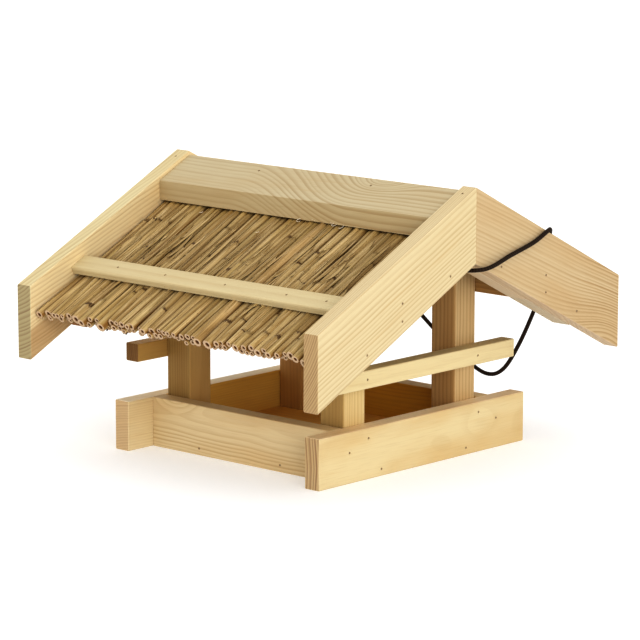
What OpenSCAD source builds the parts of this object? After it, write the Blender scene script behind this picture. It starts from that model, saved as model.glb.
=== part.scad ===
// Open bird feeder house of planed pine with a reed roof and a hanging cord.
// X runs along the ridge, -Y is the front slope, +Y the back slope.
// The origin is under the middle of the tray, on the surface it stands on.

/* [Tray] */
// Width of the tray over its two side boards, along the ridge
tray_w = 272; // [240:1:300]
// Length of the side boards, from front to back
side_len = 303; // [270:1:340]
// Height of the tray's boards
tray_h = 50; // [40:1:64]
// Thickness of the tray's boards
tray_t = 18; // [12:0.5:22]
// How far the front and back boards stand in from the ends of the side boards
setback = 34; // [20:1:50]
// Thickness of the floor panel
floor_t = 10; // [6:0.5:14]
// Height of the floor panel's underside
floor_lift = 2; // [0:0.5:6]

/* [Posts and perches] */
// Width of the square posts
post_w = 31; // [24:0.5:38]
// Gap between a post and the front or back board of the tray
post_gap = 2.5; // [0.5:0.5:6]
// Height of a perch rail's section
rail_h = 18; // [12:0.5:22]
// Thickness of a perch rail
rail_t = 16.5; // [10:0.5:20]
// Length of a perch rail
rail_len = 275; // [220:1:300]
// Height of the perch rails' underside
rail_z = 87.5; // [70:0.5:105]

/* [Roof frame] */
// Length of the roof over its gable boards
roof_len = 398; // [360:1:440]
// Distance from the ridge to the lower ends of the gable boards
half_span = 222; // [200:1:250]
// Height of the gables' peak
peak_z = 278; // [260:1:310]
// Pitch of the roof in degrees
pitch = 26.6; // [22:0.1:30]
// Thickness of the gable boards
gable_t = 18; // [12:0.5:22]
// Width of the gable boards, square to the slope
gable_d = 65.6; // [60:0.2:80]
// Thickness of the cross boards that the reeds rest on
cross_t = 18; // [12:0.5:22]
// Width of the ledger strips inside the gable boards
ledger_w = 22; // [14:0.5:28]
// Height of the ledger strips, square to the slope
ledger_d = 22; // [16:0.5:24]
// Distance from the ledgers' lower ends to the gable boards' lower ends
ledger_short = 55; // [35:1:65]

/* [Roof cover] */
// Thickness of the ridge boards
ridge_t = 18; // [12:0.5:20]
// Distance from the ridge to the ridge boards' lower edges, measured level
ridge_cover = 43; // [36:1:60]
// Width of the beam under the ridge
beam_w = 28; // [22:1:34]
// Height of the beam under the ridge, at its middle
beam_h = 28; // [20:1:34]
// Thickest reed
reed_d = 7.6; // [6:0.1:8]
// Gap between neighbouring reeds
reed_gap = 0.4; // [0.3:0.05:1]
// Distance from the ridge to the reeds' lower ends, measured level
eave = 213; // [180:1:218]
// Width of the laths that clamp the reeds
lath_w = 23; // [10:0.5:28]
// Thickness of the lath on the reeds
top_lath_t = 8; // [6:0.5:12]
// Thickness of the lath under the reeds
under_lath_t = 7; // [5:0.5:9]
// Distance from the ridge to the middle of the laths, measured along the slope
lath_at = 182.5; // [160:0.5:195]

/* [Nails and cord] */
// Diameter of a nail
nail_d = 1.5; // [1.2:0.1:2]
// Diameter of a nail's head
head_d = 2.3; // [2:0.1:3]
// Depth of the nail heads below the wood
nail_sunk = 0.5; // [0.2:0.1:1]
// Diameter of the hanging cord
cord_d = 4; // [3:0.1:5]

/* [Hidden] */
$fn = 48;

// Rounding of the boards' long edges, by stock
board_round = 1.2;
post_round = 2.2;
lath_round = 2.5;
// Clearance where the reeds and laths seat on each other, and round a nail
seat = 0.2;
nail_fit = 0.1;

// Tray and posts
side_x = tray_w / 2;
inner_x = side_x - tray_t;
end_y = side_len / 2 - setback;
inner_y = end_y - tray_t;
post_y = inner_y - post_gap;
post_mid_x = inner_x - post_w / 2;
post_mid_y = post_y - post_w / 2;
floor_top = floor_lift + floor_t;

// Roof: depth is measured square to the slope, down from the gable boards' upper edges
gable_x = roof_len / 2;
gable_inner_x = gable_x - gable_t;
plumb = gable_d / cos(pitch);
ledger_top = gable_d - ledger_d;
bed_bottom = ledger_top - under_lath_t - seat;
reed_pitch = reed_d + reed_gap;
reed_rise = reed_pitch * sqrt(3) / 2;
under_reed_depth = bed_bottom - reed_d / 2;
top_reed_depth = under_reed_depth - reed_rise;
bed_top = top_reed_depth - reed_d / 2;
cover_bottom = bed_top - seat;
ridge_top = cover_bottom - ridge_t;
top_lath_top = cover_bottom - top_lath_t;
ledger_end = half_span - ledger_short;
cross_z = peak_z - plumb - post_y * tan(pitch);
beam_bottom = peak_z - cover_bottom / cos(pitch) - beam_h;
reed_room = 2 * gable_inner_x - 2 * reed_gap;
under_reed_count = floor((reed_room - reed_d) / reed_pitch) + 1;
far = 2 * half_span;

// Where the nails go
side_nail_z = 40;
side_end_nail_z = 30;
floor_nail_y = 0.5 * post_mid_y + 22;
floor_nail_x = 0.4 * inner_x + 7;
floor_nail_z = floor_lift + floor_t / 2;
gable_nail_up = 12;
upper_nail_y = (beam_w / 2 + post_y) / 2 - 18;
lower_nail_y = ledger_end - 12;
lath_nail_shares = [-0.69, -0.33, 0.11, 0.55, 0.83];
ridge_nail_x = 0.41 * gable_inner_x;
ridge_nail_along = 13;
peak_nail_along = 12;
post_nail_zs = [8, 17];

// How long the nails are
tray_nail_len = 38;
end_nail_len = 34;
perch_nail_len = 32;
post_nail_len = 34;
gable_nail_len = 38;
peak_nail_len = 36;
ridge_nail_len = ridge_t + 12;
lath_nail_len = ledger_top - top_lath_top - 1;

// Hanging cord: a loop through the roof, tied on the back slope
ROUTE = [
    [-131, 176, 174], [-147, 158, 189.4], [-167, 144, 198.5], [-180, 134, 214.3], [-188, 125, 219.4],
    [-196, 115, 224.5], [-201.4, 104.5, 224.8], [-202.2, 82, 216.2], [-202.5, 48, 208.2], [-204.4, 15.5, 200.8],
    [-197, 3, 198.3], [-180, 0.3, 197], [-145, 0, 193.8], [-75, 0, 188.8], [75, 0, 188.8],
    [145, 0, 193.8], [180, 0.3, 197], [197, 3, 198.3], [204.4, 15.5, 200.8], [202.5, 48, 208.2],
    [202.2, 82, 216.2], [201.4, 104.5, 224.8], [196, 115, 224.5], [188, 125, 219.4], [180, 134, 214.3],
    [167, 144, 198.5], [147, 158, 189.4], [128, 181.5, 171.2], [112, 205.5, 156.8], [104.5, 218.7, 144],
    [93, 219.5, 117], [74, 219.5, 80], [54, 219.5, 52], [33, 219.5, 44], [6, 219.5, 54],
    [-40, 219.5, 82], [-84, 219.5, 117], [-99, 219.1, 143], [-106.5, 212.5, 154.8], [-114, 200, 162]
];
CORD_SIDES = 10;

// Tools

// A rectangle with rounded corners, centred
module rounded(w, h, r) {
    square([w - 2 * r, h], center = true);
    square([w, h - 2 * r], center = true);
    for (x = [-1, 1], y = [-1, 1])
        translate([x * (w / 2 - r), y * (h / 2 - r)])
            circle(r);
}

// A board from x0 to x1, y0 to y1 and z0 to z1, its grain and rounded edges along one axis
module board_x(x, y, z, r) {
    translate([x[0], (y[0] + y[1]) / 2, (z[0] + z[1]) / 2])
        rotate([90, 0, 90])
            linear_extrude(x[1] - x[0])
                rounded(y[1] - y[0], z[1] - z[0], r);
}

module board_y(x, y, z, r) {
    translate([(x[0] + x[1]) / 2, y[1], (z[0] + z[1]) / 2])
        rotate([90, 0, 0])
            linear_extrude(y[1] - y[0])
                rounded(x[1] - x[0], z[1] - z[0], r);
}

// The back slope's frame: X along the ridge, Y down the slope, Z out of the roof
module on_back_slope() {
    translate([0, 0, peak_z])
        rotate([-pitch, 0, 0])
            children();
}

module on_slope(side) {
    if (side > 0)
        on_back_slope() children();
    else
        mirror([0, 1, 0])
            on_back_slope() children();
}

// The same part on the left or right, or on the front or back
module at_side(side) {
    if (side > 0)
        children();
    else
        mirror([1, 0, 0])
            children();
}

module at_end(side) {
    if (side > 0)
        children();
    else
        mirror([0, 1, 0])
            children();
}

// Space behind the ridge line, between two level distances from it
module between_levels(y0, y1) {
    translate([-far, y0, -far])
        cube([2 * far, y1 - y0, 3 * far]);
}

// Space on the back slope that lies deeper than a depth
module below_depth(depth) {
    on_back_slope()
        translate([-far, -2 * far, -2 * far - depth])
            cube([2 * far, 4 * far, 2 * far]);
}

// A nail with its head towards +Z and its place on the wood's surface at the origin
module nail(length) {
    translate([0, 0, -nail_sunk - length])
        cylinder(d = nail_d, h = length);
    translate([0, 0, -nail_sunk - 1])
        cylinder(d = head_d, h = 1);
}

module nail_hole(length) {
    translate([0, 0, -nail_sunk - length - nail_fit])
        cylinder(d = nail_d + nail_fit, h = length + nail_fit);
    translate([0, 0, -nail_sunk - 1 - nail_fit])
        cylinder(d = head_d + nail_fit, h = 3);
}

// Nails and their holes share these places
module tray_nail_places() {
    for (end = [-1, 1]) {
        translate([side_x, end * post_mid_y, side_nail_z])
            rotate([0, 90, 0]) children();
        translate([side_x, end * (end_y - tray_t / 2), side_end_nail_z])
            rotate([0, 90, 0]) children();
        translate([side_x, end * floor_nail_y, floor_nail_z])
            rotate([0, 90, 0]) children();
    }
}

module end_nail_places() {
    for (x = [-1, 1])
        translate([x * floor_nail_x, end_y, floor_nail_z])
            rotate([-90, 0, 0]) children();
}

module perch_nail_places() {
    for (end = [-1, 1])
        translate([inner_x + rail_t, end * post_mid_y, rail_z + rail_h / 2])
            rotate([0, 90, 0]) children();
}

module post_nail_places() {
    for (up = post_nail_zs)
        translate([post_mid_x, post_y + cross_t, cross_z + up])
            rotate([-90, 0, 0]) children();
}

module gable_nail_places() {
    under = peak_z - plumb;
    translate([gable_x, upper_nail_y, under - upper_nail_y * tan(pitch) + gable_nail_up])
        rotate([0, 90, 0]) children();
    translate([gable_x, lower_nail_y, under - lower_nail_y * tan(pitch) + gable_nail_up])
        rotate([0, 90, 0]) children();
    for (up = [8, 25])
        translate([gable_x, post_y + cross_t / 2, cross_z + up])
            rotate([0, 90, 0]) children();
}

module ridge_nail_places(x) {
    for (side = [-1, 1])
        translate([side * x, ridge_nail_along, -ridge_top])
            children();
}

module peak_nail_place() {
    translate([gable_x - gable_t / 2, peak_nail_along, 0])
        children();
}

module lath_nail_places() {
    for (share = lath_nail_shares)
        translate([share * gable_inner_x, lath_at, -top_lath_top])
            children();
}

// Tray

module tray_floor() {
    color("burlywood")
        difference() {
            translate([-inner_x, -inner_y, floor_lift])
                cube([2 * inner_x, 2 * inner_y, floor_t]);
            for (side = [-1, 1])
                at_side(side) tray_nail_places() nail_hole(tray_nail_len);
            for (end = [-1, 1])
                at_end(end) end_nail_places() nail_hole(end_nail_len);
        }
}

module tray_side(side) {
    color("wheat")
        at_side(side)
            difference() {
                board_y([inner_x, side_x], [-side_len / 2, side_len / 2], [0, tray_h], board_round);
                tray_nail_places() nail_hole(tray_nail_len);
            }
}

module tray_end(end) {
    color("wheat")
        at_end(end)
            difference() {
                board_x([-inner_x, inner_x], [inner_y, end_y], [0, tray_h], board_round);
                end_nail_places() nail_hole(end_nail_len);
                for (side = [-1, 1])
                    at_side(side) tray_nail_places() nail_hole(tray_nail_len);
            }
}

// Posts, perches and the boards on the posts

module post(side, end) {
    color("burlywood")
        at_side(side)
            at_end(end)
                difference() {
                    intersection() {
                        translate([post_mid_x, post_mid_y, floor_top])
                            linear_extrude(peak_z)
                                rounded(post_w, post_w, post_round);
                        below_depth(bed_bottom + seat);
                    }
                    tray_nail_places() nail_hole(tray_nail_len);
                    perch_nail_places() nail_hole(perch_nail_len);
                    post_nail_places() nail_hole(post_nail_len);
                }
}

module perch_rail(side) {
    color("wheat")
        at_side(side)
            difference() {
                board_y([inner_x, inner_x + rail_t], [-rail_len / 2, rail_len / 2],
                    [rail_z, rail_z + rail_h], board_round);
                perch_nail_places() nail_hole(perch_nail_len);
            }
}

// Its ends are notched over the lower ledgers
module cross_board(end) {
    color("sienna")
        at_end(end)
            difference() {
                intersection() {
                    translate([-gable_inner_x, post_y, cross_z])
                        cube([2 * gable_inner_x, cross_t, peak_z]);
                    below_depth(bed_bottom + seat);
                }
                for (side = [-1, 1])
                    at_side(side) {
                        on_back_slope()
                            translate([gable_inner_x - ledger_w - seat, 0, -2 * gable_d])
                                cube([2 * ledger_w, 2 * half_span, 2 * gable_d - ledger_top + seat]);
                        post_nail_places() nail_hole(post_nail_len);
                        gable_nail_places() nail_hole(gable_nail_len);
                    }
            }
}

// Roof frame

module gable_board(side, end) {
    color("khaki")
        at_side(side)
            at_end(end)
                difference() {
                    intersection() {
                        on_back_slope()
                            board_y([gable_inner_x, gable_x], [-half_span, 2 * half_span],
                                [-gable_d, 0], board_round);
                        between_levels(0, half_span);
                    }
                    gable_nail_places() nail_hole(gable_nail_len);
                    if (end < 0)
                        on_back_slope() peak_nail_place() nail_hole(peak_nail_len);
                    else
                        mirror([0, 1, 0])
                            on_back_slope() peak_nail_place() nail_hole(peak_nail_len);
                }
}

// A ledger strip between two level distances from the ridge
module ledger(side, end, y0, y1) {
    color("tan")
        at_side(side)
            at_end(end)
                difference() {
                    intersection() {
                        on_back_slope()
                            board_y([gable_inner_x - ledger_w, gable_inner_x], [0, 2 * half_span],
                                [-gable_d, -ledger_top], board_round);
                        between_levels(y0, y1);
                    }
                    gable_nail_places() nail_hole(gable_nail_len);
                }
}

// The upper ledgers meet under the ridge, where they have a level seat for the beam
module upper_ledger(side, end) {
    difference() {
        ledger(side, end, 0, post_y);
        translate([-gable_x, -beam_w / 2, beam_bottom])
            cube([2 * gable_x, beam_w, beam_h]);
    }
}

module lower_ledger(side, end) {
    ledger(side, end, post_y, ledger_end);
}

// Ridge

module ridge_beam() {
    color("burlywood")
        difference() {
            intersection() {
                translate([-gable_inner_x, -beam_w / 2, beam_bottom])
                    cube([2 * gable_inner_x, beam_w, 2 * beam_h]);
                below_depth(cover_bottom);
                mirror([0, 1, 0])
                    below_depth(cover_bottom);
            }
            on_slope(-1) ridge_nail_places(ridge_nail_x) nail_hole(ridge_nail_len);
            on_slope(1) ridge_nail_places(ridge_nail_x - 12) nail_hole(ridge_nail_len);
        }
}

module ridge_board(end) {
    x = end < 0 ? ridge_nail_x : ridge_nail_x - 12;
    color("khaki")
        at_end(end)
            difference() {
                intersection() {
                    on_back_slope()
                        translate([-gable_inner_x, -half_span, -cover_bottom])
                            cube([2 * gable_inner_x, 2 * half_span, ridge_t]);
                    between_levels(0, ridge_cover);
                }
                on_back_slope() ridge_nail_places(x) nail_hole(ridge_nail_len);
            }
}

// Reeds and the laths that clamp them

module under_lath(end) {
    color("tan")
        on_slope(end)
            difference() {
                translate([-gable_inner_x, lath_at - lath_w / 2, -ledger_top])
                    cube([2 * gable_inner_x, lath_w, under_lath_t]);
                lath_nail_places() nail_hole(lath_nail_len);
            }
}

module top_lath(end) {
    color("wheat")
        on_slope(end)
            difference() {
                intersection() {
                    board_x([-gable_inner_x, gable_inner_x],
                        [lath_at - lath_w / 2, lath_at + lath_w / 2],
                        [-cover_bottom - lath_round, -top_lath_top], lath_round);
                    translate([-far, 0, -cover_bottom])
                        cube([2 * far, far, cover_bottom]);
                }
                lath_nail_places() nail_hole(lath_nail_len);
            }
}

// One layer of reeds, each a little thinner and shorter by chance
module reeds(end, count, depth, seed) {
    thinner = rands(0, 0.6, count, seed);
    shorter = rands(-3, 3, count, seed + 1);
    start = (beam_w / 2 + reed_gap + (depth + reed_d / 2) * sin(pitch)) / cos(pitch);
    finish = (eave + depth * sin(pitch)) / cos(pitch);
    color("darkkhaki")
        on_slope(end)
            for (i = [0 : count - 1])
                translate([(i - (count - 1) / 2) * reed_pitch, start, -depth])
                    rotate([-90, 0, 0])
                        cylinder(d = reed_d - thinner[i], h = finish - start + shorter[i], $fn = 24);
}

module under_reeds(end) {
    reeds(end, under_reed_count, under_reed_depth, 20 + end);
}

module top_reeds(end) {
    reeds(end, under_reed_count - 1, top_reed_depth, 40 + end);
}

// Nails

module tray_nails() {
    color("gray") {
        for (side = [-1, 1])
            at_side(side) tray_nail_places() nail(tray_nail_len);
        for (end = [-1, 1])
            at_end(end) end_nail_places() nail(end_nail_len);
    }
}

module perch_nails() {
    color("gray")
        for (side = [-1, 1])
            at_side(side) perch_nail_places() nail(perch_nail_len);
}

module post_nails() {
    color("gray")
        for (side = [-1, 1], end = [-1, 1])
            at_side(side) at_end(end) post_nail_places() nail(post_nail_len);
}

module gable_nails() {
    color("gray")
        for (side = [-1, 1])
            at_side(side) {
                for (end = [-1, 1])
                    at_end(end) gable_nail_places() nail(gable_nail_len);
                on_slope(-1) peak_nail_place() nail(peak_nail_len);
            }
}

module ridge_nails() {
    color("gray") {
        on_slope(-1) ridge_nail_places(ridge_nail_x) nail(ridge_nail_len);
        on_slope(1) ridge_nail_places(ridge_nail_x - 12) nail(ridge_nail_len);
    }
}

module lath_nails() {
    color("gray")
        for (end = [-1, 1])
            on_slope(end) lath_nail_places() nail(lath_nail_len);
}

// Cord

function unit(v) = v / norm(v);

// A point on the smooth curve through the route, a share t of the way from point i to the next
function route_at(p, i, t) =
    let (
        last = len(p) - 1,
        a = p[max(i - 1, 0)],
        b = p[i],
        c = p[min(i + 1, last)],
        d = p[min(i + 2, last)]
    )
    0.5 * (2 * b + (c - a) * t + (2 * a - 5 * b + 4 * c - d) * t * t
        + (3 * b - a - 3 * c + d) * t * t * t);

// Directions across the cord, carried along it without twist
function carried(tangents, i, across) =
    i == len(tangents) ? [] :
    let (next = unit(across - (across * tangents[i]) * tangents[i]))
    concat([next], carried(tangents, i + 1, next));

module tube(centres, d, sides) {
    n = len(centres);
    tangents = [for (i = [0 : n - 1]) unit(centres[min(i + 1, n - 1)] - centres[max(i - 1, 0)])];
    across = carried(tangents, 0, [0, 0, 1]);
    points = [for (i = [0 : n - 1], s = [0 : sides - 1])
        centres[i] + d / 2 * (cos(360 * s / sides) * across[i]
            + sin(360 * s / sides) * cross(tangents[i], across[i]))];
    walls = [for (i = [0 : n - 2], s = [0 : sides - 1])
        let (a = i * sides + s, b = i * sides + (s + 1) % sides)
        each [[a, b, b + sides], [a, b + sides, a + sides]]];
    start = [[for (s = [0 : sides - 1]) s]];
    finish = [[for (s = [0 : sides - 1]) n * sides - 1 - s]];
    polyhedron(points, concat(start, [for (w = walls) [w[2], w[1], w[0]]], finish));
}

function route_length(p) = len(p) < 2 ? 0 :
    let (steps = [for (i = [1 : len(p) - 1]) norm(p[i] - p[i - 1])])
    steps * [for (s = steps) 1];

module hanging_cord() {
    last = len(ROUTE) - 1;
    centres = concat([for (i = [0 : last - 1], t = [0, 0.5]) route_at(ROUTE, i, t)], [ROUTE[last]]);
    echo(cord_length = route_length(centres), rings = len(centres));
    color([0.1, 0.1, 0.1])
        tube(centres, cord_d, CORD_SIDES);
}

// Turns of the cord's two ends round each other, with their short tails
module cord_knot() {
    first = ROUTE[0];
    last = ROUTE[len(ROUTE) - 1];
    way = last - first;
    turn = norm(way) / 4;
    color([0.1, 0.1, 0.1])
        translate(first)
            rotate([0, acos(way[2] / norm(way)), atan2(way[1], way[0])]) {
                translate([0, 0, 0.1])
                    cylinder(d = 1.7 * cord_d, h = norm(way) - 0.2);
                for (i = [1 : 3])
                    translate([0, 0, i * turn])
                        rotate_extrude()
                            translate([0.9 * cord_d, 0])
                                circle(d = cord_d);
            }
}

tray_floor();
tray_side(-1);  // tray_side_left
tray_side(1);  // tray_side_right
tray_end(-1);  // tray_front
tray_end(1);  // tray_back
post(-1, -1);  // post_front_left
post(1, -1);  // post_front_right
post(-1, 1);  // post_back_left
post(1, 1);  // post_back_right
perch_rail(-1);  // perch_rail_left
perch_rail(1);  // perch_rail_right
cross_board(-1);  // cross_board_front
cross_board(1);  // cross_board_back
gable_board(-1, -1);  // gable_board_front_left
gable_board(1, -1);  // gable_board_front_right
gable_board(-1, 1);  // gable_board_back_left
gable_board(1, 1);  // gable_board_back_right
upper_ledger(-1, -1);  // upper_ledger_front_left
upper_ledger(1, -1);  // upper_ledger_front_right
upper_ledger(-1, 1);  // upper_ledger_back_left
upper_ledger(1, 1);  // upper_ledger_back_right
lower_ledger(-1, -1);  // lower_ledger_front_left
lower_ledger(1, -1);  // lower_ledger_front_right
lower_ledger(-1, 1);  // lower_ledger_back_left
lower_ledger(1, 1);  // lower_ledger_back_right
ridge_beam();
ridge_board(-1);  // ridge_board_front
ridge_board(1);  // ridge_board_back
under_lath(-1);  // under_lath_front
under_lath(1);  // under_lath_back
top_lath(-1);  // top_lath_front
top_lath(1);  // top_lath_back
under_reeds(-1);  // under_reeds_front
under_reeds(1);  // under_reeds_back
top_reeds(-1);  // top_reeds_front
top_reeds(1);  // top_reeds_back
tray_nails();
perch_nails();
post_nails();
gable_nails();
ridge_nails();
lath_nails();
hanging_cord();
cord_knot();
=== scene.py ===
# %% [markdown]
# # An open bird feeder house
#
# The house is a shallow pine tray, four posts, two perch rails and a gable roof of boards and reeds,
# with a black cord to hang it by. The boards already exist, at their real size, in the frame that is
# loaded first. What Blender adds is what the eye reads: eased edges, growth rings that run through
# each board, hollow reeds of uneven thickness, and sunk nail heads.
#
# Lengths are metres. X runs along the ridge, -Y is the front slope, and Z is up.

# %% Load the frame
import math
import random
from functools import partialmethod

import bmesh
import bpy
from mathutils import Matrix, Vector


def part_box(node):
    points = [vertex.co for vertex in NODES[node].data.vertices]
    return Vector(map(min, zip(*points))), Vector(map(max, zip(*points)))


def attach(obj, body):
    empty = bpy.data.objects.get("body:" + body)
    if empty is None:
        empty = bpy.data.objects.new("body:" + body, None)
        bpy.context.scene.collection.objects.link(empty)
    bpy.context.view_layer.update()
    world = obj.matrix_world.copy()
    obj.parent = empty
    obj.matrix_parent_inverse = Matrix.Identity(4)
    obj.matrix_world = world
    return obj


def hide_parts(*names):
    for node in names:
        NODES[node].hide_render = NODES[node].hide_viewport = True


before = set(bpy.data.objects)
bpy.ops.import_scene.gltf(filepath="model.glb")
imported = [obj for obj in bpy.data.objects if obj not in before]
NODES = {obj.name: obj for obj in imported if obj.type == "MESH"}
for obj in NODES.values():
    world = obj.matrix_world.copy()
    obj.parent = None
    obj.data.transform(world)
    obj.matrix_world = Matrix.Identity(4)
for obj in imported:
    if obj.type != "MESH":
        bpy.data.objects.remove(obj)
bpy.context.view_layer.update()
ENDS = (("front", -1), ("back", 1))
SIDES = ("left", "right")
scene = bpy.context.scene


def add_object(name, data):
    """Puts an object with this data in the scene."""
    made = bpy.data.objects.new(name, data)
    scene.collection.objects.link(made)
    return made


def declare(piece, slot, *nodes):
    """Says what a piece rides on and which CAD nodes it replaces. slot is not used."""
    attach(piece, "root")
    if nodes:
        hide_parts(*nodes)


# %% [markdown]
# ## Camera
#
# The photograph was taken from a little above, from about 3.5 m, with a long lens: the boards'
# edges hardly converge. The camera's place follows from where it looks, how far off it stands, and
# three angles, which is easier to correct than a matrix.

# %% Camera
CAMERA_AIM = Vector((-0.0158, 0.0162, 0.1218))
CAMERA_DISTANCE = 3.460
CAMERA_AZIMUTH = math.radians(42.342)
CAMERA_ELEVATION = math.radians(10.518)
CAMERA_ROLL = math.radians(0.097)
CAMERA_LENS = 195.57


def make_camera():
    """The photograph's camera, from its aim, distance and angles."""
    turn = (Matrix.Rotation(CAMERA_AZIMUTH, 3, "Z")
            @ Matrix.Rotation(math.pi / 2 - CAMERA_ELEVATION, 3, "X")
            @ Matrix.Rotation(CAMERA_ROLL, 3, "Z"))
    data = bpy.data.cameras.new("camera")
    data.lens = CAMERA_LENS
    camera = add_object("camera", data)
    place = CAMERA_AIM + turn.col[2] * CAMERA_DISTANCE
    camera.matrix_world = Matrix.Translation(place) @ turn.to_4x4()
    return camera


scene.camera = make_camera()
print("camera at", [round(c, 3) for c in scene.camera.matrix_world.translation])

# %% [markdown]
# ## Light and floor
#
# The product photograph is lit by one large soft light on the right, with white surroundings that
# fill the shade. The right gable is the brightest face and the front boards are a step darker. The
# floor glows a little, like a light table, so that only a faint shadow is left under the house.

# %% Light and floor
WHITE = (1, 1, 1, 1)
WORLD_STRENGTH = 1.12
KEY_PLACE = Vector((2.5, -1.45, 0.7))
KEY_POWER = 30
KEY_SIZE = 1.3
HOUSE_MIDDLE = Vector((0, 0, 0.12))
FLOOR_SIZE = 30.0
FLOOR_LOOK = {"Base Color": (0.62, 0.62, 0.62, 1), "Emission Color": WHITE, "Emission Strength": 0.45,
              "Roughness": 0.9, "Specular IOR Level": 0.1}
PRINT_CONTRAST = 0.7


def make_light():
    """White surroundings and one soft light on the right."""
    world = bpy.data.worlds.new("studio")
    world.use_nodes = True
    background = world.node_tree.nodes["Background"]
    background.inputs["Strength"].default_value = WORLD_STRENGTH
    background.inputs["Color"].default_value = WHITE
    scene.world = world
    data = bpy.data.lights.new("key_light", "AREA")
    data.energy = KEY_POWER
    data.size = KEY_SIZE
    light = add_object("key_light", data)
    light.location = KEY_PLACE
    light.rotation_euler = (HOUSE_MIDDLE - KEY_PLACE).to_track_quat("-Z", "Y").to_euler()


def make_floor():
    """A pale floor, which isn't part of the house."""
    half = FLOOR_SIZE / 2
    corners = [(-half, -half, 0), (half, -half, 0), (half, half, 0), (-half, half, 0)]
    mesh = bpy.data.meshes.new("floor")
    mesh.from_pydata(corners, [], [(0, 1, 2, 3)])
    material = bpy.data.materials.new("floor")
    material.use_nodes = True
    shader = material.node_tree.nodes["Principled BSDF"]
    for name, value in FLOOR_LOOK.items():
        shader.inputs[name].default_value = value
    mesh.materials.append(material)
    add_object("floor", mesh)


make_light()
make_floor()
scene.view_settings.view_transform = "Standard"
scene.view_settings.gamma = PRINT_CONTRAST
print("key light:", KEY_POWER, "W")

# %% [markdown]
# ## Sums on sockets
#
# A material is a graph of small sums. Written out node by node it is unreadable, so a socket is
# wrapped in a class that takes part in Python expressions: `1 - ring * 0.4` adds two Math nodes and
# joins them. Every other node comes from one method.

# %% A socket that takes part in sums
class Wire:
    """A node's output. Sums on it add Math nodes, and wire["Color"] is another output of its node."""

    def __init__(self, web, socket):
        self.web = web
        self.socket = socket

    def __getitem__(self, name):
        return Wire(self.web, self.socket.node.outputs[name])

    def sum(self, operation, *others):
        """A Math node on this output and others."""
        return self.web.node("ShaderNodeMath", dict(enumerate([self, *others])), operation=operation)

    def __rsub__(self, other):
        return self.web.node("ShaderNodeMath", {0: other, 1: self}, operation="SUBTRACT")

    __add__ = __radd__ = partialmethod(sum, "ADD")
    __sub__ = partialmethod(sum, "SUBTRACT")
    __mul__ = __rmul__ = partialmethod(sum, "MULTIPLY")
    __truediv__ = partialmethod(sum, "DIVIDE")
    __pow__ = partialmethod(sum, "POWER")


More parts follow.
